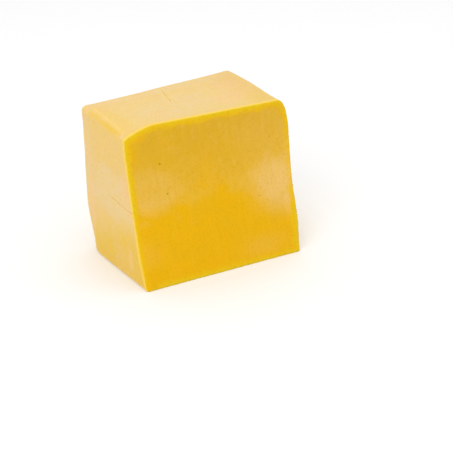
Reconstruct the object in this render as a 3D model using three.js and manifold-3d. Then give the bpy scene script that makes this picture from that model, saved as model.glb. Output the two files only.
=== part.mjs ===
// A block of semi-hard cheese: the end of a rectangular loaf, standing on its base.
// The front is the knife's cut, which runs askew across the loaf and slants out to a wide foot.
// Millimetres, +Z up, the cut facing -Y. The origin is the middle of the base of the whole block.
import * as THREE from "three";
import { LoftGeometry } from "three/addons/geometries/LoftGeometry.js";
import { mergeVertices } from "three/addons/utils/BufferGeometryUtils.js";
import Module from "manifold-3d";

// The loaf, seen along its length. Depths are measured forwards from its flat back.
const WIDTH = 110; // across the loaf at its top, where the cut meets the left side
const HEIGHT = 97.6;
const BACK_SPREAD = 2.4; // how much wider the loaf is at its back
const LEFT_FLARE = 1.3; // how far the foot of the left side stands out
const RIGHT_TUCK = 2.8; // how far the foot of the right side draws in
const BASE_EDGE = 1.6; // radius of the long edges that meet the surface

// The cut.
const DEPTH_TOP = 49.6; // from the back to the cut, along the top of the left side
const CUT_SKEW = THREE.MathUtils.degToRad(8.4); // deeper to the right, seen from above
const LEAN_TOP = THREE.MathUtils.degToRad(7.4); // slant of the cut off the vertical at the top
const LEAN_FOOT = THREE.MathUtils.degToRad(17.3); // and at the base

// The long edges of the top. The left one opens into a slumped shoulder towards the cut.
const RIDGE_RADIUS = 2.9; // left edge at the back
const SHOULDER_ACROSS = 19.8; // left edge at the cut
const SHOULDER_DOWN = 7;
const SHOULDER_FULLNESS = 1.36; // 2 is a true ellipse, 1 a straight chamfer
const SHOULDER_OPENING = 1.3; // 1 opens evenly along the loaf, more opens late
const RIGHT_BACK_ACROSS = 3; // right edge at the back
const RIGHT_BACK_DOWN = 3.7;
const RIGHT_ACROSS = 7.4; // right edge at the cut
const RIGHT_DOWN = 15.1;

// The rim of the back, and its lower left corner, the heel, which is pressed in.
const RIM_RADIUS = 2.8;
const HEEL_RADIUS = 13.7;
const HEEL_HEIGHT = 35.5;

const ELLIPSE = 2; // fullness of a plain rounded edge
const CORNER_STEPS = 12;
const SIDE_STEPS = 20;
const RIM_STEPS = 12;
const LENGTH_STEPS = 12;
const CUT_STEPS = 18;
const OVERRUN = 10; // how far loaf and knife run past each other before the cut

// How fast the cut runs forward on its way down, and how far it has run, at a distance below the top.
function cutSlope(below) {
  return THREE.MathUtils.lerp(Math.tan(LEAN_TOP), Math.tan(LEAN_FOOT), below / HEIGHT);
}

function cutRun(below) {
  return ((cutSlope(0) + cutSlope(below)) / 2) * below;
}

const loafLength = DEPTH_TOP + cutRun(HEIGHT) + WIDTH * Math.tan(CUT_SKEW) + 2 * OVERRUN;

// A quarter superellipse with its corner at the origin, from (0, down) to (across, 0).
function cornerArc(across, down, fullness) {
  return Array.from({ length: CORNER_STEPS + 1 }, (_, i) => {
    const angle = ((i / CORNER_STEPS) * Math.PI) / 2;
    return new THREE.Vector2(
      across * (1 - Math.cos(angle) ** (2 / fullness)),
      down * (1 - Math.sin(angle) ** (2 / fullness)),
    );
  });
}

// The loaf's outline at one depth, anticlockwise seen from the cut: x across, y up.
function outline(depth) {
  const along = Math.min(depth / DEPTH_TOP, 1);
  const opening = along ** SHOULDER_OPENING;
  const { lerp } = THREE.MathUtils;
  const leftTop = cornerArc(
    lerp(RIDGE_RADIUS, SHOULDER_ACROSS, opening),
    lerp(RIDGE_RADIUS, SHOULDER_DOWN, opening),
    lerp(ELLIPSE, SHOULDER_FULLNESS, opening),
  ).map((p) => new THREE.Vector2(p.x, HEIGHT - p.y));
  const rightTop = cornerArc(
    lerp(RIGHT_BACK_ACROSS, RIGHT_ACROSS, along),
    lerp(RIGHT_BACK_DOWN, RIGHT_DOWN, along),
    ELLIPSE,
  ).map((p) => new THREE.Vector2(WIDTH - p.x, HEIGHT - p.y));
  const leftFoot = cornerArc(BASE_EDGE, BASE_EDGE, ELLIPSE);
  const rightFoot = leftFoot.map((p) => new THREE.Vector2(WIDTH - p.x, p.y)).reverse();
  leftTop.reverse();
  return [
    ...leftFoot,
    ...rightFoot,
    ...between(rightFoot.at(-1), rightTop[0], SIDE_STEPS),
    ...rightTop,
    ...leftTop,
    ...between(leftTop.at(-1), leftFoot[0], SIDE_STEPS),
  ];
}

// The points that divide a straight stretch, without its two ends.
function between(start, end, steps) {
  return Array.from({ length: steps - 1 }, (_, i) =>
    start.clone().lerp(end, (i + 1) / steps),
  );
}

// How far an edge rounded by this radius lies inside the loaf, at one depth from the back.
function roundedInset(radius, depth) {
  const short = Math.max(radius - depth, 0);
  return radius - Math.sqrt(radius * radius - short * short);
}

// One cross section: the outline set between the two sides, and drawn in all round where it
// passes the rounded rim of the back.
function section(depth) {
  const { lerp, mapLinear, smoothstep } = THREE.MathUtils;
  const rim = roundedInset(RIM_RADIUS, depth);
  const spread = BACK_SPREAD * (1 - depth / DEPTH_TOP);
  return outline(depth).map((p) => {
    const low = 1 - p.y / HEIGHT;
    const heel = smoothstep(HEEL_HEIGHT - p.y, 0, HEEL_HEIGHT);
    const left = roundedInset(lerp(RIM_RADIUS, HEEL_RADIUS, heel), depth) - LEFT_FLARE * low;
    const right = WIDTH + spread - RIGHT_TUCK * low - rim;
    return new THREE.Vector3(
      mapLinear(p.x, 0, WIDTH, left, right),
      -depth,
      mapLinear(p.y, 0, HEIGHT, rim, HEIGHT - rim),
    );
  });
}

// The uncut loaf. Sections stand closest together where the rim of the back turns.
function loaf() {
  const rimRun = Math.max(RIM_RADIUS, HEEL_RADIUS);
  const depths = [];
  for (let i = 0; i < RIM_STEPS; i++) depths.push(rimRun * (i / RIM_STEPS) ** 2);
  for (let i = 0; i <= LENGTH_STEPS; i++)
    depths.push(THREE.MathUtils.lerp(rimRun, loafLength, i / LENGTH_STEPS));
  return new LoftGeometry(depths.map(section), { capStart: true, capEnd: true });
}

// What the knife takes off: everything in front of the cut, as one long extrusion of its profile.
function offcut() {
  const profile = new THREE.Shape();
  const over = -OVERRUN;
  const under = HEIGHT + OVERRUN;
  const middle = (over + under) / 2;
  profile.moveTo(cutRun(over), HEIGHT - over);
  profile.quadraticCurveTo(
    cutRun(over) + cutSlope(over) * (middle - over),
    HEIGHT - middle,
    cutRun(under),
    HEIGHT - under,
  );
  profile.lineTo(2 * loafLength, HEIGHT - under);
  profile.lineTo(2 * loafLength, HEIGHT - over);
  const geometry = new THREE.ExtrudeGeometry(profile, {
    depth: 2 * loafLength + WIDTH,
    bevelEnabled: false,
    curveSegments: CUT_STEPS,
  });
  const forwards = new THREE.Vector3(0, -1, 0);
  const up = new THREE.Vector3(0, 0, 1);
  const across = new THREE.Vector3(-1, 0, 0);
  geometry.applyMatrix4(new THREE.Matrix4().makeBasis(forwards, up, across));
  geometry.translate(WIDTH + loafLength, 0, 0);
  geometry.rotateZ(-CUT_SKEW);
  geometry.translate(0, -DEPTH_TOP, 0);
  return geometry;
}

const wasm = await Module();
wasm.setup();

function toSolid(geometry) {
  const bare = new THREE.BufferGeometry();
  bare.setAttribute("position", geometry.getAttribute("position"));
  bare.setIndex(geometry.getIndex());
  const merged = mergeVertices(bare);
  return new wasm.Manifold(
    new wasm.Mesh({
      numProp: 3,
      vertProperties: new Float32Array(merged.attributes.position.array),
      triVerts: new Uint32Array(merged.index.array),
    }),
  );
}

function toGeometry(solid) {
  const { vertProperties, triVerts } = solid.getMesh();
  const geometry = new THREE.BufferGeometry();
  geometry.setAttribute("position", new THREE.BufferAttribute(vertProperties, 3));
  geometry.setIndex(new THREE.BufferAttribute(triVerts, 1));
  return geometry;
}

// The block, moved so that the middle of its base box is the origin.
function cheeseBlock() {
  const geometry = toGeometry(toSolid(loaf()).subtract(toSolid(offcut())));
  geometry.computeBoundingBox();
  const { min, max } = geometry.boundingBox;
  geometry.translate(-(min.x + max.x) / 2, -(min.y + max.y) / 2, -min.z);
  geometry.computeVertexNormals();
  const cheese = new THREE.MeshStandardMaterial({
    color: 0xe8b840,
    roughness: 0.5,
    metalness: 0,
  });
  const mesh = new THREE.Mesh(geometry, cheese);
  mesh.name = "cheese_block";
  return mesh;
}

const block = new THREE.Group();
block.add(cheeseBlock());

export default block;
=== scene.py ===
"""The looks of a block of golden semi-hard cheese.

It is the end of a rectangular loaf, cut across with a knife.
"""

import logging
import math
import random
from dataclasses import dataclass, field
from enum import Enum
from typing import Any

import bmesh
import bpy
import numpy as np
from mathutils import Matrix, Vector, noise
from mathutils.bvhtree import BVHTree


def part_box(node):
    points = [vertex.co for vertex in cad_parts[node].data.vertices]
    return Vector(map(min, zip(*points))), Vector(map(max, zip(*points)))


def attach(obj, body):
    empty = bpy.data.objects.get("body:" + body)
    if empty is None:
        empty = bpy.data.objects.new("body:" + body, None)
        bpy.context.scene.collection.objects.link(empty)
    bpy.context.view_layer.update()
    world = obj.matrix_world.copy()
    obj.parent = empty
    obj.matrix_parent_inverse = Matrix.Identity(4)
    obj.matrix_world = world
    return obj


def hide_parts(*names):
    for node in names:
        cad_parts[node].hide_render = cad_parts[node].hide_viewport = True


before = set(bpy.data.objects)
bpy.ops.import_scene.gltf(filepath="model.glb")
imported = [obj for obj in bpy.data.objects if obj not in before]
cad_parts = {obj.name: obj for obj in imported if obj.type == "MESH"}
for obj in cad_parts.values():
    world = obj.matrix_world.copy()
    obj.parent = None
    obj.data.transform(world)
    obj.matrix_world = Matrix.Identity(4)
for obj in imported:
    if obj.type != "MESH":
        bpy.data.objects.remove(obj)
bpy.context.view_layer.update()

log = logging.getLogger("cheese")

MM = 0.001  # in metres, as is every length whose name gives no unit
ANYWHERE_MM = 500.0  # a cloud's reach along an axis that doesn't limit it

# A Mix node has sockets for each kind of data. These are the ones that it uses for colours.
MIX_SHARE, MIX_UNDER, MIX_OVER, MIX_RESULT = 0, 6, 7, 2


class Zone(Enum):
    """What the mesh tells the material about each point of the surface, as float attributes."""

    FROM_CUT_EDGE = "from_cut_edge"  # millimetres: above 0 on the cut, below 0 on the skin
    PALE = "pale"
    DEEP = "deep"
    BLUSH = "blush"
    # painted shade where the light falls off over the right back of the top
    PAINTED_FALLOFF_SHADE = "painted_falloff_shade"
    RIM = "rim"
    # painted shade in a band along the ridge between the left side and the top
    PAINTED_RIDGE_SHADE = "ridge"
    # painted highlight on the lips of creases and in a line above the ridge
    PAINTED_HIGHLIGHT = "lip"
    # painted shade inside pits and crease grooves
    PAINTED_HOLLOW_SHADE = "hollow_shade"


class Pattern(Enum):
    """Colour patterns that the material works out from the place on the block."""

    CLOUD = "cloud"
    MOTTLE = "mottle"
    GRAIN = "grain"
    DRAG = "drag"  # upright streaks along the knife's way
    # painted light: skin that faces up is coloured lighter
    PAINTED_TOP_LIGHT = "painted_top_light"
    HEIGHT = "height"  # metres above the base


class Side(Enum):
    """A side of the block, with the way that a mark is pressed into it."""

    CUT = (0.0, 1.0, 0.0)
    TOP = (0.0, 0.0, -1.0)
    LEFT = (1.0, 0.0, 0.0)
    LEFT_RIDGE = (1.0, 0.0, -1.0)
    RIGHT = (-1.0, 0.0, 0.0)
    BACK = (0.0, -1.0, 0.0)


def put_in_scene(name: str, data: bpy.types.ID) -> bpy.types.Object:
    """Makes an object and puts it into the scene.

    Args:
        name: the object's name.
        data: its mesh, camera or light.

    Returns:
        The new object, at the origin.
    """
    made = bpy.data.objects.new(name, data)
    bpy.context.scene.collection.objects.link(made)
    return made


# ---------------------------------------------------------------------------
# Finishes


def linear(hex_colour: str) -> tuple[float, float, float, float]:
    """Turns an sRGB hex colour into the linear colour that a shader takes.

    Args:
        hex_colour: six hex digits, such as "F5D595".

    Returns:
        Linear red, green, blue and an alpha of 1.
    """
    channels = (int(hex_colour[i : i + 2], 16) / 255 for i in (0, 2, 4))
    # the sRGB curve: a straight start, then a power
    red, green, blue = (
        c / 12.92 if c <= 0.04045 else ((c + 0.055) / 1.055) ** 2.4 for c in channels
    )
    return red, green, blue, 1.0


def add_node(
    tree: bpy.types.NodeTree,
    kind: str,
    settings: dict[str, Any] | None = None,
    inputs: dict[str | int, Any] | None = None,
) -> bpy.types.Node:
    """Adds one node to a tree, sets its properties and fills its inputs.

    Args:
        tree: the node tree that takes the node.
        kind: the node's type name.
        settings: node properties by name.
        inputs: by input name or number, either a socket to link from or a plain value.

    Returns:
        The new node.
    """
    node = tree.nodes.new(kind)
    for name, value in (settings or {}).items():
        setattr(node, name, value)
    for key, value in (inputs or {}).items():
        if isinstance(value, bpy.types.NodeSocket):
            tree.links.new(value, node.inputs[key])
        else:
            node.inputs[key].default_value = value
    return node


@dataclass(frozen=True)
class Coat:
    """A colour laid over those before it, wherever a zone or pattern is strong.

    It starts to show where the zone or pattern passes start, and shows most where it reaches full.
    """

    source: Zone | Pattern
    colour: str
    most: float = 1.0
    start: float = 0.0
    full: float = 1.0


@dataclass(frozen=True)
class SemiHardCheese:
    """Golden semi-hard cheese, pressed and ripened in foil, then cut with a knife.

    The foil leaves a smooth, pale, waxy skin. The knife leaves a dense, moist and deeper gold
    face, with a more saturated rim where the outer layer has dried a little. Light enters the
    paste a few millimetres and comes out again, red the furthest.
    """

    cream: str = "E5C275"
    skin_coats: tuple[Coat, ...] = (
        # Painted light: skin that faces up is lighter and paler.
        Coat(Pattern.PAINTED_TOP_LIGHT, "E5C682", 1.0, 0.2, 0.9),
        # Deeper gold; at the foot of the skin it is painted warm bounce light.
        Coat(Zone.DEEP, "E3BC4A"),
        Coat(Zone.PALE, "E4C78E"),
        Coat(Zone.BLUSH, "EAC28A"),
        # Painted shade where the light falls off over the right back of the top.
        Coat(Zone.PAINTED_FALLOFF_SHADE, "D2AC62"),
        Coat(Pattern.CLOUD, "E7BE7C", 0.3, 0.48, 0.7),
        Coat(Pattern.MOTTLE, "E9C466", 0.4, 0.5, 0.72),
        Coat(Pattern.MOTTLE, "E6C9A0", 0.2, 0.48, 0.3),
        Coat(Pattern.GRAIN, "DAB568", 0.5, 0.5, 0.78),
        Coat(Pattern.GRAIN, "F0CE96", 0.2, 0.48, 0.28),
        # Painted shade in a band along the ridge between the left side and the top.
        Coat(Zone.PAINTED_RIDGE_SHADE, "E5BD4E"),
        # Painted highlight on crease lips and in a line above the ridge.
        Coat(Zone.PAINTED_HIGHLIGHT, "F0CD76"),
        # Painted highlight: a light band along the foot of the skin, within a few millimetres of
        # the base.
        Coat(Pattern.HEIGHT, "F0CD78", 0.7, 0.0032, 0.001),
        # Painted highlight: a light line on the skin along the knife edge.
        Coat(Zone.FROM_CUT_EDGE, "F0CC5A", 0.95, -3.0, -1.3),
    )
    gold: str = "D9AA29"
    cut_coats: tuple[Coat, ...] = (
        Coat(Pattern.HEIGHT, "E7B632", 1.0, 0.092, 0.028),
        Coat(Pattern.MOTTLE, "E5B650", 0.28, 0.5, 0.72),
        Coat(Pattern.MOTTLE, "D7A50C", 0.35, 0.48, 0.3),
        Coat(Zone.DEEP, "E6B000"),
        # Paler patches on the cut; the large ones at the middle left and right are painted sheen
        # of the moist face.
        Coat(Zone.PALE, "E9BF6C"),
        Coat(Zone.RIM, "E6B908", 1.0, 0.0, 0.62),
        Coat(Zone.RIM, "E0C01C", 0.8, 0.5, 0.85),
        Coat(Pattern.CLOUD, "DDAE12", 0.3, 0.5, 0.7),
        Coat(Pattern.DRAG, "D6A60C", 0.18, 0.5, 0.7),
        Coat(Pattern.DRAG, "E9BA2C", 0.14, 0.48, 0.3),
        Coat(Pattern.GRAIN, "CC9E0C", 0.45, 0.5, 0.75),
    )
    # Painted shade, laid in pits and crease grooves.
    hollow_shade: Coat = Coat(Zone.PAINTED_HOLLOW_SHADE, "B98320", 0.8)
    cloud_mm: float = 22.0  # slow changes of colour through the paste
    mottle_mm: float = 3.6  # the curds that were pressed together
    # The paste's own grain is about 0.3 mm, too fine to show, so it is drawn four times as coarse.
    grain_mm: float = 1.2
    # So are the scratches of the blade, which are about 0.5 mm apart.
    drag_mm: float = 2.2
    drag_stretch: float = 8.0  # how much longer a scratch is than it is wide
    relief_mm: float = 0.04
    drag_relief_mm: float = 0.012
    skin_roughness: float = 0.55
    cut_roughness: float = 0.42
    sheen_of_fat: float = 0.1
    index_of_fat: float = 1.45
    scatter_mm: tuple[float, float, float] = (3.0, 1.5, 0.4)
    scatter_weight: float = 0.3


@dataclass
class CheeseDresser:
    """Builds the cheese's material from its finish."""

    finish: SemiHardCheese = field(default_factory=SemiHardCheese)
    seam_mm: tuple[float, float] = (-0.5, 0.1)

    def material(self) -> bpy.types.Material:
        """Makes the material.

        Returns:
            One material for skin and cut, which the mesh's zones tell apart.
        """
        made = bpy.data.materials.new("foil_ripened_semi_hard_cheese")
        made.use_nodes = True
        tree = made.node_tree
        tree.nodes.clear()
        f = self.finish
        sources = self.sources(tree)
        skin = self.coated(tree, sources, f.cream, f.skin_coats)
        cut = self.coated(tree, sources, f.gold, f.cut_coats)
        on_cut = add_node(
            tree,
            "ShaderNodeMapRange",
            {},
            {
                "Value": sources[Zone.FROM_CUT_EDGE],
                "From Min": self.seam_mm[0],
                "From Max": self.seam_mm[1],
            },
        ).outputs["Result"]
        paste = add_node(
            tree,
            "ShaderNodeMix",
            {"data_type": "RGBA"},
            {MIX_SHARE: on_cut, MIX_UNDER: skin, MIX_OVER: cut},
        ).outputs[MIX_RESULT]
        colour = self.coated(tree, sources, paste, (f.hollow_shade,))
        roughness = add_node(
            tree,
            "ShaderNodeMapRange",
            {},
            {"Value": on_cut, "To Min": f.skin_roughness, "To Max": f.cut_roughness},
        ).outputs["Result"]
        grain = {"Height": sources[Pattern.GRAIN], "Distance": f.relief_mm * MM, "Strength": 1.0}
        drag = {
            "Height": sources[Pattern.DRAG],
            "Distance": f.drag_relief_mm * MM,
            "Strength": on_cut,
            "Normal": add_node(tree, "ShaderNodeBump", {}, grain).outputs["Normal"],
        }
        relief = add_node(tree, "ShaderNodeBump", {}, drag).outputs["Normal"]
        furthest = max(f.scatter_mm)
        shader = add_node(
            tree,
            "ShaderNodeBsdfPrincipled",
            {},
            {
                "Base Color": colour,
                "Roughness": roughness,
                "Normal": relief,
                "Subsurface Weight": f.scatter_weight,
                "Subsurface Radius": tuple(reach / furthest for reach in f.scatter_mm),
                "Subsurface Scale": furthest * MM,
                "Specular IOR Level": f.sheen_of_fat,
                "IOR": f.index_of_fat,
            },
        ).outputs["BSDF"]
        add_node(tree, "ShaderNodeOutputMaterial", {}, {"Surface": shader})
        return made

    def sources(self, tree: bpy.types.NodeTree) -> dict[Zone | Pattern, bpy.types.NodeSocket]:
        """Reads the mesh's zones and works out the patterns.

        Args:
            tree: the material's node tree.

        Returns:
            The socket that carries each zone and each pattern.
        """
        f = self.finish
        read: dict[Zone | Pattern, bpy.types.NodeSocket] = {}
        for zone in Zone:
            attribute = {"attribute_name": zone.value}
            read[zone] = add_node(tree, "ShaderNodeAttribute", attribute).outputs["Fac"]
        place = add_node(tree, "ShaderNodeTexCoord").outputs["Object"]
        squeeze = (1.0, 1 / f.drag_stretch, 1 / f.drag_stretch)
        upright = add_node(
            tree, "ShaderNodeMapping", {}, {"Vector": place, "Scale": squeeze}
        ).outputs["Vector"]
        lumps = (
            (Pattern.CLOUD, place, f.cloud_mm, 2.0),
            (Pattern.MOTTLE, place, f.mottle_mm, 3.0),
            (Pattern.GRAIN, place, f.grain_mm, 3.0),
            (Pattern.DRAG, upright, f.drag_mm, 2.0),
        )
        for pattern, vector, size_mm, detail in lumps:
            read[pattern] = add_node(
                tree,
                "ShaderNodeTexNoise",
                {},
                {"Vector": vector, "Scale": 1 / (size_mm * MM), "Detail": detail},
            ).outputs["Fac"]
        normal = add_node(tree, "ShaderNodeNewGeometry").outputs["Normal"]
        # the normal's up share drives the painted top light
        for pattern, vector in ((Pattern.PAINTED_TOP_LIGHT, normal), (Pattern.HEIGHT, place)):
            read[pattern] = add_node(tree, "ShaderNodeSeparateXYZ", {}, {0: vector}).outputs["Z"]
        return read

    def coated(
        self,
        tree: bpy.types.NodeTree,
        sources: dict[Zone | Pattern, bpy.types.NodeSocket],
        ground: str | bpy.types.NodeSocket,
        coats: tuple[Coat, ...],
    ) -> bpy.types.NodeSocket:
        """Lays coats of colour over a ground colour.

        Args:
            tree: the material's node tree.
            sources: the socket that carries each zone and pattern.
            ground: the first colour, as a hex colour or a socket.
            coats: the coats in the order in which they are laid.

        Returns:
            The socket that carries the colour.
        """
        colour = linear(ground) if isinstance(ground, str) else ground
        for coat in coats:
            share = add_node(
                tree,
                "ShaderNodeMapRange",
                {"interpolation_type": "SMOOTHSTEP"},
                {
                    "Value": sources[coat.source],
                    "From Min": coat.start,
                    "From Max": coat.full,
                    "To Max": coat.most,
                },
            ).outputs["Result"]
            colour = add_node(
                tree,
                "ShaderNodeMix",
                {"data_type": "RGBA"},
                {MIX_SHARE: share, MIX_UNDER: colour, MIX_OVER: linear(coat.colour)},
            ).outputs[MIX_RESULT]
        return colour


# ---------------------------------------------------------------------------
# The marks on the block


def reaches_away(
    places: np.ndarray,
    low: np.ndarray,
    size: np.ndarray,
    middle: tuple[float, float, float],
    reach_mm: tuple[float, float, float],
) -> np.ndarray:
    """Measures how far points lie from the middle of a spot, in the spot's own reaches.

    Args:
        places: the points, one row each.
        low: the lowest corner of the block's box.
        size: the box's three sides.
        middle: the middle of the spot, in shares of the box.
        reach_mm: how far the spot reaches along each axis.

    Returns:
        From 0 at the middle to 1 at the reach and more beyond it, for each point.
    """
    centre = low + np.array(middle) * size
    return np.linalg.norm((places - centre) / (np.array(reach_mm) * MM), axis=1)


@dataclass(frozen=True)
class Cloud:
    """A soft-edged patch of a zone, an ellipsoid placed by shares of the block's box.

    The shares run from the left to the right, from the foot of the cut to the back, and up.
    """

    zone: Zone
    place: tuple[float, float, float]
    reach_mm: tuple[float, float, float]
    strength: float
    softness: float = 0.4

    def share(
        self, places: np.ndarray, low: np.ndarray, size: np.ndarray, drift: np.ndarray
    ) -> np.ndarray:
        """Works out how much of the cloud lies on each point.

        Args:
            places: the points, one row each.
            low: the lowest corner of the block's box.
            size: the box's three sides.
            drift: how far the cloud's outline strays at each point, as a share of its reach.

        Returns:
            From 0 to the cloud's strength, for each point.
        """
        out = reaches_away(places, low, size, self.place, self.reach_mm)
        inside = np.clip((1 + self.softness - out - drift) / (2 * self.softness), 0, 1)
        return self.strength * inside**2 * (3 - 2 * inside)  # eased at both ends


@dataclass(frozen=True)
class Bulge:
    """A spot where the loaf stands proud or, below 0, is pressed in, placed as a cloud is."""

    place: tuple[float, float, float]
    reach_mm: tuple[float, float, float]
    rise_mm: float

    def rise(self, places: np.ndarray, low: np.ndarray, size: np.ndarray) -> np.ndarray:
        """Works out how far the spot lifts each point.

        Args:
            places: the points, one row each.
            low: the lowest corner of the block's box.
            size: the box's three sides.

        Returns:
            Millimetres, for each point.
        """
        out = reaches_away(places, low, size, self.place, self.reach_mm)
        return self.rise_mm * np.exp(-(out**2))


@dataclass(frozen=True)
class Pit:
    """A small hole left by a gas bubble that the knife opened, placed by shares of its side."""

    across: float
    up: float
    radius_mm: float
    depth_mm: float


@dataclass(frozen=True)
class Crease:
    """A fold of the foil, pressed into the skin along a route given in shares of its side."""

    side: Side
    route: tuple[tuple[float, float], ...]
    width_mm: float
    depth_mm: float
    lip_mm: float
    runs_out: bool = False  # it passes over an edge at its far end and doesn't fade there


@dataclass(frozen=True)
class CreaseProfile:
    """How a crease looks across and along its route. Distances across are in crease widths."""

    fade_rate: float = 6.0  # it is whole after a sixth of its length
    least_fade: float = 0.1
    lip_away: float = 1.9
    lip_sharpness: float = 1.5
    # share of painted shade in the groove
    groove_shade: float = 0.3
    # share of painted highlight on the lips
    lip_highlight: float = 0.45


# ---------------------------------------------------------------------------
# The block


@dataclass
class LoafEnd:
    """The block of cheese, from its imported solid."""

    node: str = "cheese_block"
    merge_mm: float = 0.001
    voxel_mm: float = 0.9
    smoothing: int = 4
    smoothing_factor: float = 0.5
    knife_edge_mm: float = 0.75
    knife_edge_uneven: float = 0.7  # share of its radius
    knife_edge_length_mm: float = 3.5  # from one chip to the next
    refined_edge_mm: float = 1.6
    swell_mm: float = 0.22
    swell_length_mm: float = 34.0
    ripple_mm: float = 0.05
    ripple_length_mm: float = 8.0
    drift_length_mm: float = 13.0
    drift: float = 0.22  # how far the outlines of clouds stray, as a share of their reach
    cut_clouds: tuple[Cloud, ...] = (
        # The patches at the middle left (the first) and the middle right (the third) are painted
        # sheen of the moist face.
        Cloud(Zone.PALE, (0.14, 0.5, 0.615), (18, ANYWHERE_MM, 12), 0.44, 0.5),
        Cloud(Zone.PALE, (0.13, 0.5, 0.50), (10, ANYWHERE_MM, 6), 0.22, 0.6),
        Cloud(Zone.PALE, (0.91, 0.5, 0.46), (20, ANYWHERE_MM, 17), 0.9, 0.7),
        Cloud(Zone.PALE, (0.69, 0.5, 0.53), (9, ANYWHERE_MM, 9), 0.2, 0.6),
        Cloud(Zone.PALE, (0.84, 0.5, 0.80), (28, ANYWHERE_MM, 20), 0.24, 0.6),
        Cloud(Zone.PALE, (0.03, 0.5, 0.22), (12, ANYWHERE_MM, 9), 0.2, 0.8),
        Cloud(Zone.PALE, (0.72, 0.5, 0.10), (18, ANYWHERE_MM, 8), 0.25, 0.8),
        Cloud(Zone.DEEP, (0.42, 0.5, 0.0), (90, ANYWHERE_MM, 47.5), 1.0, 0.18),
        Cloud(Zone.DEEP, (0.60, 0.5, 0.40), (13, ANYWHERE_MM, 9), 0.7, 0.5),
        Cloud(Zone.DEEP, (0.455, 0.5, 0.62), (8, ANYWHERE_MM, 18), 0.4, 0.7),
        Cloud(Zone.DEEP, (0.60, 0.5, 0.54), (10, ANYWHERE_MM, 8), 0.15, 0.7),
        Cloud(Zone.DEEP, (0.04, 0.5, 0.87), (5, ANYWHERE_MM, 11), 0.5, 0.6),
        Cloud(Zone.DEEP, (0.104, 0.5, 0.945), (4, ANYWHERE_MM, 3.5), 0.5, 0.5),
        Cloud(Zone.DEEP, (0.955, 0.5, 0.94), (6, ANYWHERE_MM, 8), 0.6, 0.6),
    )
    worn_rims: tuple[Cloud, ...] = (
        Cloud(Zone.RIM, (1.0, 0.5, 0.52), (9, ANYWHERE_MM, 34), 0.55, 0.4),
        Cloud(Zone.RIM, (0.0, 0.5, 0.20), (14, ANYWHERE_MM, 23), 0.45, 0.3),
    )
    skin_clouds: tuple[Cloud, ...] = (
        # the left side
        Cloud(Zone.BLUSH, (0.0, 0.89, 0.43), (8, 2.6, 26), 0.8),
        Cloud(Zone.BLUSH, (0.0, 0.39, 0.61), (8, 8, 18), 0.6),
        Cloud(Zone.BLUSH, (0.0, 0.38, 0.15), (8, 3, 8), 0.5),
        # deeper gold at the foot: painted warm light bounced up from below
        Cloud(Zone.DEEP, (0.0, 0.38, 0.07), (12, 44, 26), 1.0),
        Cloud(Zone.PALE, (0.0, 0.62, 0.53), (8, 30, 17), 0.8),
        Cloud(Zone.PALE, (0.0, 0.94, 0.62), (8, 8, 34), 0.7, 0.5),
        # the top
        Cloud(Zone.BLUSH, (0.71, 0.50, 1.0), (11, 9, 6), 0.6),
        Cloud(Zone.BLUSH, (0.84, 0.64, 1.0), (13, 15, 6), 0.5),
        Cloud(Zone.DEEP, (0.92, 0.50, 1.0), (20, 36, 6), 0.45, 0.6),
        Cloud(Zone.BLUSH, (0.86, 0.80, 1.0), (16, 12, 6), 0.35, 0.6),
        Cloud(Zone.DEEP, (0.05, 0.60, 1.0), (9, 27, 8), 0.35),
        Cloud(Zone.PALE, (0.41, 0.59, 1.0), (29, 15, 6), 0.7),
        Cloud(Zone.PALE, (0.50, 0.96, 1.0), (58, 8, 6), 0.8),
        # painted shade over the right back of the top, where the light falls off
        Cloud(Zone.PAINTED_FALLOFF_SHADE, (0.94, 0.75, 1.0), (20, 36, 6), 0.3, 0.7),
        # the back
        # deeper gold at the foot: painted warm light bounced up from below
        Cloud(Zone.DEEP, (0.45, 1.0, 0.04), (62, 12, 24), 0.8),
        Cloud(Zone.PALE, (0.42, 1.0, 0.56), (34, 12, 20), 0.8, 0.6),
        Cloud(Zone.BLUSH, (0.80, 1.0, 0.48), (7, 12, 28), 0.6),
        Cloud(Zone.BLUSH, (0.20, 1.0, 0.78), (17, 12, 7), 0.6),
        Cloud(Zone.BLUSH, (0.55, 1.0, 0.24), (15, 12, 6), 0.5),
        # the right side
        # deeper gold at the foot: painted warm light bounced up from below
        Cloud(Zone.DEEP, (1.0, 0.38, 0.05), (10, 48, 23), 0.9),
        Cloud(Zone.PALE, (1.0, 0.55, 0.55), (10, 26, 17), 0.7),
        Cloud(Zone.BLUSH, (1.0, 0.88, 0.42), (9, 4, 26), 0.6),
        Cloud(Zone.BLUSH, (1.0, 0.42, 0.76), (8, 9, 10), 0.5),
    )
    pits: tuple[Pit, ...] = (
        Pit(0.19, 0.755, 0.9, 0.55),
        Pit(0.21, 0.565, 0.75, 0.5),
        Pit(0.84, 0.78, 0.4, 0.3),
        Pit(0.74, 0.42, 0.45, 0.4),
    )
    creases: tuple[Crease, ...] = (
        Crease(
            Side.TOP,
            ((0.505, 0.985), (0.474, 0.85), (0.453, 0.765), (0.425, 0.65)),
            width_mm=0.65,
            depth_mm=0.2,
            lip_mm=0.2,
        ),
        Crease(
            Side.LEFT,
            ((0.65, 0.502), (0.51, 0.493), (0.43, 0.484), (0.35, 0.482)),
            width_mm=0.8,
            depth_mm=0.26,
            lip_mm=0.18,
            runs_out=True,
        ),
        Crease(
            Side.BACK,
            ((0.26, 0.60), (0.38, 0.67), (0.50, 0.71), (0.60, 0.72)),
            width_mm=0.7,
            depth_mm=0.2,
            lip_mm=0.14,
        ),
        Crease(
            Side.BACK,
            ((0.735, 0.95), (0.72, 0.84), (0.725, 0.70), (0.74, 0.58)),
            width_mm=0.6,
            depth_mm=0.16,
            lip_mm=0.12,
        ),
        Crease(
            Side.RIGHT,
            ((0.84, 0.66), (0.68, 0.62), (0.53, 0.625)),
            width_mm=0.6,
            depth_mm=0.16,
            lip_mm=0.12,
        ),
    )
    crease_profile: CreaseProfile = CreaseProfile()
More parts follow.
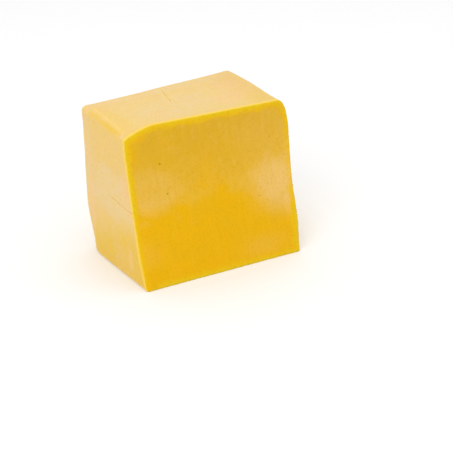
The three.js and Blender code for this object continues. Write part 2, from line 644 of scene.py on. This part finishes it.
    # The ridge between the left side and the top, from the back to the cut: shares back and up.
    ridge: tuple[tuple[float, float], ...] = (
        (0.95, 0.992),
        (0.75, 0.976),
        (0.54, 0.955),
        (0.36, 0.937),
    )
    bulges: tuple[Bulge, ...] = (
        Bulge((1.0, 0.62, 1.0), (9, 24, 9), 1.1),
        Bulge((1.0, 0.25, 0.92), (8, 13, 8), -0.7),
        Bulge((1.0, 0.10, 0.21), (9, 32, 17), 2.4),
        Bulge((0.075, 0.46, 0.985), (5, 8, 5), -0.9),
        Bulge((0.0, 0.42, 0.93), (6, 10, 5), -0.7),
        Bulge((0.0, 0.12, 0.23), (8, 14, 10), 0.9),
        Bulge((0.0, 1.0, 1.0), (6, 6, 6), 0.6),
    )
    ridge_in: float = 0.024  # where the ridge lies, as a share of the block's width
    ridge_strength: tuple[float, float] = (0.6, 0.8)  # the painted shade band's strength at its back and at the cut
    ridge_shade_mm: tuple[float, float] = (1.2, 3.0)  # the painted shade band's width above and below it
    ridge_highlight_mm: tuple[float, float] = (2.8, 1.1)  # the painted highlight line's place above it, and width
    ridge_highlight: float = 0.5
    ridge_fade_rate: float = 8.0  # the bands are whole after an eighth of its length
    ridge_back_width: float = 0.6  # how wide the painted shade band is at the back, 1 being at the cut
    rim_mm: float = 5.2
    uneven_length_mm: float = 6.0
    uneven: float = 0.2
    foot_folds: tuple[tuple[Side, int], ...] = ((Side.LEFT, 9), (Side.BACK, 8), (Side.RIGHT, 7))
    foot_fold_mm: tuple[float, float] = (2.0, 5.0)
    foot_fold_depth_mm: tuple[float, float] = (0.12, 0.26)
    seed: int = 7
    low: Vector = field(init=False)
    size: Vector = field(init=False)
    cut_side: BVHTree = field(init=False)
    skin_side: BVHTree = field(init=False)
    solid: BVHTree = field(init=False)

    def __post_init__(self) -> None:
        """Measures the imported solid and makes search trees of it."""
        low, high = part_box(self.node)
        self.low = Vector(low)
        self.size = Vector(high) - self.low
        self.cut_side, self.skin_side, self.solid = self.search_trees()

    def build(self) -> bpy.types.Object:
        """Makes the finished block and dresses it.

        Returns:
            The block, riding on its body and standing for its CAD node.
        """
        block = self.remeshed()
        bm = bmesh.new()
        bm.from_mesh(block.data)
        self.smooth(bm)
        creases = [(c, self.route(c)) for c in (*self.creases, *self.folds_at_foot())]
        pits = [(p, self.on_side(Side.CUT, p.across, p.up)) for p in self.pits]
        self.refine(bm, creases, pits)
        self.round_knife_edge(bm)
        self.swell(bm)
        # painted shade in the hollows, and painted highlight on the crease lips
        hollow_shade, lip = self.press_marks(bm, creases, pits)
        self.mark_zones(bm, hollow_shade, lip)
        self.settle(bm)
        bm.to_mesh(block.data)
        bm.free()
        block.data.materials.clear()
        block.data.materials.append(CheeseDresser().material())
        for polygon in block.data.polygons:
            polygon.use_smooth = True
        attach(block, "root")
        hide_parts(self.node)
        return block

    def search_trees(self) -> tuple[BVHTree, BVHTree, BVHTree]:
        """Makes search trees of the solid's triangles.

        Returns:
            The tree of the knife's cut, of the skin, and of both together.
        """
        facing_cut = -0.7  # a face whose normal points forwards more than this is the knife's
        solid = bmesh.new()
        solid.from_mesh(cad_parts[self.node].data)
        solid.normal_update()
        trees = []
        for wanted in (True, False):
            part = solid.copy()
            other = [f for f in part.faces if (f.normal.y < facing_cut) != wanted]
            bmesh.ops.delete(part, geom=other, context="FACES")
            trees.append(BVHTree.FromBMesh(part))
            part.free()
        trees.append(BVHTree.FromBMesh(solid))
        solid.free()
        return tuple(trees)

    def remeshed(self) -> bpy.types.Object:
        """Gives a merged copy of the solid an even skin of small squares.

        Returns:
            A new object with the even mesh.
        """
        solid = bmesh.new()
        solid.from_mesh(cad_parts[self.node].data)
        bmesh.ops.remove_doubles(solid, verts=solid.verts, dist=self.merge_mm * MM)
        merged = bpy.data.meshes.new("loaf_end_solid")
        solid.to_mesh(merged)
        solid.free()
        source = put_in_scene("loaf_end_solid", merged)
        remesh = source.modifiers.new("even", "REMESH")
        remesh.mode = "VOXEL"
        remesh.voxel_size = self.voxel_mm * MM
        remesh.adaptivity = 0
        evaluated = source.evaluated_get(bpy.context.evaluated_depsgraph_get())
        even = bpy.data.meshes.new_from_object(evaluated)
        even.name = "loaf_end"
        bpy.data.objects.remove(source)
        bpy.data.meshes.remove(merged)
        return put_in_scene("loaf_end", even)

    def smooth(self, bm: bmesh.types.BMesh) -> None:
        """Takes the steps out of the even mesh.

        Args:
            bm: the block's mesh.
        """
        for _ in range(self.smoothing):
            bmesh.ops.smooth_vert(
                bm,
                verts=bm.verts,
                factor=self.smoothing_factor,
                use_axis_x=True,
                use_axis_y=True,
                use_axis_z=True,
            )

    def on_side(self, side: Side, across: float, up: float) -> Vector:
        """Finds a place on one side of the block.

        Args:
            side: the side.
            across: the share of the way across the side, from the left or from the cut.
            up: the share of the way up the side or, on the top, back along it.

        Returns:
            The point on the solid.
        """
        far = 0.2  # metres, well outside the block
        shares = {
            Side.CUT: (across, 0.0, up),
            Side.TOP: (across, up, 1.0),
            Side.LEFT: (0.0, across, up),
            Side.LEFT_RIDGE: (self.ridge_in, across, up),
            Side.RIGHT: (1.0, across, up),
            Side.BACK: (across, 1.0, up),
        }[side]
        inwards = Vector(side.value).normalized()
        aim = self.low + Vector(s * d for s, d in zip(shares, self.size))
        place, _, _, _ = self.solid.ray_cast(aim - far * inwards, inwards)
        return place

    def route(self, crease: Crease) -> list[Vector]:
        """Finds the points of a crease's route on the solid."""
        return [self.on_side(crease.side, across, up) for across, up in crease.route]

    def folds_at_foot(self) -> list[Crease]:
        """Makes the short folds that the foil pressed into the foot of the block.

        Returns:
            The folds, as creases that climb from the base.
        """
        draw = random.Random(self.seed)
        first, span, foot, most_lean = 0.22, 0.55, 0.012, 0.02  # shares of the side
        most_stray = 0.6  # share of the gap between folds
        width, lip = 0.45, 0.08  # millimetres
        folds = []
        for side, count in self.foot_folds:
            for i in range(count):
                start = first + span * (i + most_stray * draw.random()) / count
                climb = draw.uniform(*self.foot_fold_mm) * MM / self.size.z
                lean = draw.uniform(-most_lean, most_lean)
                route = ((start, foot), (start + lean, foot + climb))
                depth = draw.uniform(*self.foot_fold_depth_mm)
                folds.append(Crease(side, route, width, depth, lip))
        return folds

    def refine(
        self,
        bm: bmesh.types.BMesh,
        creases: list[tuple[Crease, list[Vector]]],
        pits: list[tuple[Pit, Vector]],
    ) -> None:
        """Divides the mesh where its shape is fine: along the knife edge once, at marks twice.

        Args:
            bm: the block's mesh.
            creases: the creases with their routes.
            pits: the pits with their places.
        """
        crease_reach, crease_margin_mm, pit_reach = 3, 0.4, 2  # reaches in widths and radii
        for knife_edge_too in (True, False):
            places = vertex_places(bm)
            near = np.zeros(len(places), bool)
            if knife_edge_too:
                near |= np.abs(self.edge_distances(bm)) < self.refined_edge_mm
            for crease, route in creases:
                reach_mm = crease_reach * crease.width_mm + crease_margin_mm
                near |= line_distance(places, route)[0] < reach_mm * MM
            for pit, centre in pits:
                away = np.linalg.norm(places - np.array(centre), axis=1)
                near |= away < pit_reach * pit.radius_mm * MM
            edges = [e for e in bm.edges if near[e.verts[0].index] and near[e.verts[1].index]]
            bmesh.ops.subdivide_edges(bm, edges=edges, cuts=1, use_grid_fill=True)
            bm.verts.index_update()
        square = 4
        many_sided = [f for f in bm.faces if len(f.verts) > square]
        bmesh.ops.triangulate(bm, faces=many_sided)
        bm.verts.index_update()

    def edge_distances(self, bm: bmesh.types.BMesh) -> np.ndarray:
        """Measures how far each vertex lies from the edge of the cut.

        Args:
            bm: the block's mesh.

        Returns:
            Millimetres, above 0 on the cut and below 0 on the skin.
        """
        return np.array(
            [
                (self.skin_side.find_nearest(v.co)[3] - self.cut_side.find_nearest(v.co)[3]) / MM
                for v in bm.verts
            ]
        )

    def round_knife_edge(self, bm: bmesh.types.BMesh) -> None:
        """Draws the sharp edge round the cut in to a small, slightly uneven radius.

        Args:
            bm: the block's mesh.
        """
        rounds = 3
        reach = 2.5  # radii
        nothing = 1e-9  # metres
        for v in bm.verts:
            chip = noise.noise(v.co / (self.knife_edge_length_mm * MM))
            radius = self.knife_edge_mm * (1 + self.knife_edge_uneven * chip) * MM
            for _ in range(rounds):
                cut_at, cut_normal, _, cut_away = self.cut_side.find_nearest(v.co)
                skin_at, skin_normal, _, skin_away = self.skin_side.find_nearest(v.co)
                if max(cut_away, skin_away) > reach * radius:
                    break
                cut_depth = max(radius + (v.co - cut_at).dot(cut_normal), 0)
                skin_depth = max(radius + (v.co - skin_at).dot(skin_normal), 0)
                out = cut_depth * cut_normal + skin_depth * skin_normal
                if out.length < nothing:
                    break
                v.co += out.normalized() * (radius - math.hypot(cut_depth, skin_depth))

    def swell(self, bm: bmesh.types.BMesh) -> None:
        """Gives the surface its bulges, and the slow swell and faint ripple of a pressed loaf.

        Args:
            bm: the block's mesh.
        """
        bm.normal_update()
        places = vertex_places(bm)
        low, size = np.array(self.low), np.array(self.size)
        rise = sum(bulge.rise(places, low, size) for bulge in self.bulges)
        for v, lift in zip(bm.verts, rise):
            lift += self.swell_mm * noise.noise(v.co / (self.swell_length_mm * MM))
            lift += self.ripple_mm * noise.noise(v.co / (self.ripple_length_mm * MM))
            v.co += v.normal * float(lift) * MM

    def press_marks(
        self,
        bm: bmesh.types.BMesh,
        creases: list[tuple[Crease, list[Vector]]],
        pits: list[tuple[Pit, Vector]],
    ) -> tuple[np.ndarray, np.ndarray]:
        """Presses the creases and pits in.

        Args:
            bm: the block's mesh.
            creases: the creases with their routes.
            pits: the pits with their places.

        Returns:
            How much painted shade lies in each vertex's hollow, and how much painted highlight of
            a crease's lip lies on it, from 0 to 1.
        """
        bowl_power = 1.5
        least_move_mm = 1e-4
        bm.normal_update()
        places = vertex_places(bm)
        hollow_shade = np.zeros(len(places))
        lip_highlights = np.zeros(len(places))
        rise = np.zeros(len(places))
        profile = self.crease_profile
        for crease, route in creases:
            away, along = line_distance(places, route)
            from_end = along if crease.runs_out else np.minimum(along, 1 - along)
            fade = np.clip(from_end * profile.fade_rate + profile.least_fade, 0, 1)
            wide = away / (crease.width_mm * MM)
            groove = fade * np.exp(-(wide**2))
            lip = fade * np.exp(-((wide - profile.lip_away) ** 2) * profile.lip_sharpness)
            rise += crease.lip_mm * lip - crease.depth_mm * groove
            # painted shade in the groove
            hollow_shade = np.maximum(hollow_shade, profile.groove_shade * groove)
            # painted highlight on the crease's lips
            lip_highlights = np.maximum(lip_highlights, profile.lip_highlight * lip)
        for pit, centre in pits:
            wide = np.linalg.norm(places - np.array(centre), axis=1) / (pit.radius_mm * MM)
            bowl = np.clip(1 - wide**2, 0, 1) ** bowl_power
            rise -= pit.depth_mm * bowl
            # painted shade, darkest at the bottom of the pit
            hollow_shade = np.maximum(hollow_shade, bowl)
        bm.verts.ensure_lookup_table()
        for i in np.flatnonzero(np.abs(rise) > least_move_mm):
            v = bm.verts[i]
            v.co += v.normal * float(rise[i]) * MM
        return hollow_shade, lip_highlights

    def mark_zones(self, bm: bmesh.types.BMesh, hollow_shade: np.ndarray, lip_highlights: np.ndarray) -> None:
        """Stores each zone on the mesh for the material.

        Args:
            bm: the block's mesh.
            hollow_shade: how much painted shade lies in each vertex's hollow.
            lip_highlights: how much painted highlight of a crease's lip lies on each vertex.
        """
        skin_from_mm = -1.0  # the cut's clouds run this far over its edge
        places = vertex_places(bm)
        low, size = np.array(self.low), np.array(self.size)
        edge = self.edge_distances(bm)
        drift = self.drift * uneven_noise(bm, self.drift_length_mm, octaves=4)
        uneven = 2 * uneven_noise(bm, self.uneven_length_mm, octaves=3)  # about -1 to 1
        marks = {zone: np.zeros(len(places)) for zone in Zone}
        marks[Zone.FROM_CUT_EDGE] = edge
        marks[Zone.RIM] = np.clip(1 - edge / (self.rim_mm * (1 + self.uneven * uneven)), 0, 1)
        for worn in self.worn_rims:
            marks[Zone.RIM] *= 1 - worn.share(places, low, size, drift)
        # painted shade band and painted highlight line along the ridge
        marks[Zone.PAINTED_RIDGE_SHADE], light = self.ridge_bands(places, uneven)
        # painted highlight of crease lips and of the line above the ridge
        marks[Zone.PAINTED_HIGHLIGHT] = np.maximum(lip_highlights, light)
        marks[Zone.PAINTED_HOLLOW_SHADE] = hollow_shade
        on_skin = edge <= skin_from_mm
        for clouds, here in ((self.cut_clouds, ~on_skin), (self.skin_clouds, on_skin)):
            for cloud in clouds:
                share = cloud.share(places, low, size, drift) * here
                marks[cloud.zone] += (1 - marks[cloud.zone]) * share
        layers = {zone: bm.verts.layers.float.new(zone.value) for zone in Zone}
        for i, v in enumerate(bm.verts):
            for zone, layer in layers.items():
                v[layer] = float(marks[zone][i])

    def ridge_bands(
        self, places: np.ndarray, uneven: np.ndarray
    ) -> tuple[np.ndarray, np.ndarray]:
        """Works out the painted shade band and the painted highlight line along the ridge between
        the left side and the top.

        Args:
            places: the mesh's vertices.
            uneven: how uneven the bands are at each vertex, from about -1 to 1.

        Returns:
            How much of the painted shade band and of the painted highlight line above it lies on
            each vertex.
        """
        route = [self.on_side(Side.LEFT_RIDGE, back, up) for back, up in self.ridge]
        away, along = line_distance(places, route)
        start, end = np.array(route[0]), np.array(route[-1])
        nearest = start + along[:, None] * (end - start)
        over_the_top = np.array((1.0, 0.0, 1.0))
        signed = away / MM * np.sign((places - nearest) @ over_the_top)
        fade = np.clip(along * self.ridge_fade_rate, 0, 1)
        change = 1 + self.uneven * uneven
        strength = np.interp(along, (0, 1), self.ridge_strength) * change
        above, below = self.ridge_shade_mm
        widening = self.ridge_back_width + (1 - self.ridge_back_width) * along
        width = np.where(signed > 0, above, below) * widening * change
        deep = np.clip(strength * fade * np.exp(-((signed / width) ** 2)), 0, 1)
        middle, half = self.ridge_highlight_mm
        light = self.ridge_highlight * (1 - self.uneven * uneven) * fade
        light *= np.exp(-(((signed - middle) / half) ** 2))
        return deep, np.clip(light, 0, 1)

    def settle(self, bm: bmesh.types.BMesh) -> None:
        """Sets the base flat on the surface.

        Args:
            bm: the block's mesh.
        """
        nearly_flat = 0.3  # voxels above the surface
        for v in bm.verts:
            if v.co.z < nearly_flat * self.voxel_mm * MM:
                v.co.z = 0


def vertex_places(bm: bmesh.types.BMesh) -> np.ndarray:
    """Lists the places of a mesh's vertices, one row each."""
    return np.array([v.co for v in bm.verts])


def uneven_noise(bm: bmesh.types.BMesh, length_mm: float, octaves: int) -> np.ndarray:
    """Works out cloudy noise at each vertex.

    Args:
        bm: the mesh.
        length_mm: the size of its largest clouds.
        octaves: how many finer sizes of cloud are laid on each other.

    Returns:
        About -0.5 to 0.5, for each vertex.
    """
    softness, refinement = 0.7, 2.0
    return np.array(
        [
            noise.fractal(v.co / (length_mm * MM), softness, refinement, octaves)
            for v in bm.verts
        ]
    )


def line_distance(places: np.ndarray, route: list[Vector]) -> tuple[np.ndarray, np.ndarray]:
    """Measures how far points lie from a line of straight stretches.

    Args:
        places: the points, one row each.
        route: the line's points in order.

    Returns:
        Each point's distance, and the share of the line's length where it comes nearest.
    """
    stretches = [(np.array(a), np.array(b)) for a, b in zip(route, route[1:])]
    lengths = [float(np.linalg.norm(b - a)) for a, b in stretches]
    nearest = np.full(len(places), np.inf)
    along = np.zeros(len(places))
    passed = 0.0
    for (start, end), length in zip(stretches, lengths):
        way = (end - start) / length
        reach = np.clip((places - start) @ way, 0, length)
        away = np.linalg.norm(places - start - reach[:, None] * way, axis=1)
        closer = away < nearest
        nearest = np.where(closer, away, nearest)
        along = np.where(closer, (passed + reach) / sum(lengths), along)
        passed += length
    return nearest, along


# ---------------------------------------------------------------------------
# The studio


@dataclass(frozen=True)
class Softbox:
    """One square softbox that faces the block."""

    name: str
    place: tuple[float, float, float]
    side: float
    watts: float


@dataclass
class Studio:
    """A plain pale floor, soft lights all round and the camera."""

    eye_mm: tuple[float, float, float] = (-321.6, -467.6, 320.0)
    heading_deg: float = 36.39
    pitch_deg: float = 28.25
    lens_mm: float = 79.47
    sensor_mm: float = 36.0
    floor_side: float = 12.0
    floor_colour: str = "F7F7F7"
    floor_roughness: float = 0.9
    floor_gloss: float = 0.1
    sky_strength: float = 0.78
    softboxes: tuple[Softbox, ...] = (
        Softbox("key_softbox", (-1.0, -0.6, 1.0), 1.1, 6.5),
        Softbox("top_softbox", (0.1, 0.25, 1.5), 1.4, 5.2),
        Softbox("side_softbox", (1.2, -0.5, 0.9), 1.0, 1.6),
    )

    def build(self) -> None:
        """Sets the camera, the floor, the sky and the lights."""
        self.camera()
        self.floor()
        self.sky()
        for softbox in self.softboxes:
            self.hang(softbox)

    def camera(self) -> None:
        """Sets the camera above the table, looking down at the block."""
        data = bpy.data.cameras.new("camera")
        data.lens = self.lens_mm
        data.sensor_width = self.sensor_mm
        eye = put_in_scene("camera", data)
        eye.location = Vector(self.eye_mm) * MM
        level_deg = 90
        pitch = math.radians(level_deg - self.pitch_deg)
        eye.rotation_euler = (pitch, 0, math.radians(-self.heading_deg))
        bpy.context.scene.camera = eye

    def floor(self) -> None:
        """Lays the plain floor.

        Its matt white paint was rolled on, so it spreads light evenly and has next to no gloss.
        """
        bm = bmesh.new()
        bmesh.ops.create_grid(bm, x_segments=1, y_segments=1, size=self.floor_side / 2)
        mesh = bpy.data.meshes.new("floor")
        bm.to_mesh(mesh)
        bm.free()
        paint = bpy.data.materials.new("matt_white_paint")
        paint.use_nodes = True
        shader = paint.node_tree.nodes["Principled BSDF"]
        shader.inputs["Base Color"].default_value = linear(self.floor_colour)
        shader.inputs["Roughness"].default_value = self.floor_roughness
        shader.inputs["Specular IOR Level"].default_value = self.floor_gloss
        mesh.materials.append(paint)
        put_in_scene("floor", mesh)

    def sky(self) -> None:
        """Fills the room with even white light, and keeps colours as they are."""
        world = bpy.data.worlds.new("room")
        world.use_nodes = True
        background = world.node_tree.nodes["Background"]
        white = (1, 1, 1, 1)
        background.inputs["Color"].default_value = white
        background.inputs["Strength"].default_value = self.sky_strength
        bpy.context.scene.world = world
        bpy.context.scene.view_settings.view_transform = "Standard"

    def hang(self, softbox: Softbox) -> None:
        """Hangs one softbox.

        Args:
            softbox: the softbox.
        """
        data = bpy.data.lights.new(softbox.name, "AREA")
        data.shape = "SQUARE"
        data.size = softbox.side
        data.energy = softbox.watts
        light = put_in_scene(softbox.name, data)
        light.location = softbox.place
        light.rotation_euler = (-Vector(softbox.place)).to_track_quat("-Z", "Y").to_euler()


def main() -> None:
    """Builds the studio and the block, and reports each piece."""
    logging.basicConfig(level=logging.INFO, format="%(message)s")
    Studio().build()
    block = LoafEnd().build()
    triangles = sum(len(p.vertices) - 2 for p in block.data.polygons)
    log.info("%s: %d triangles", block.name, triangles)


if __name__ == "__main__":
    main()
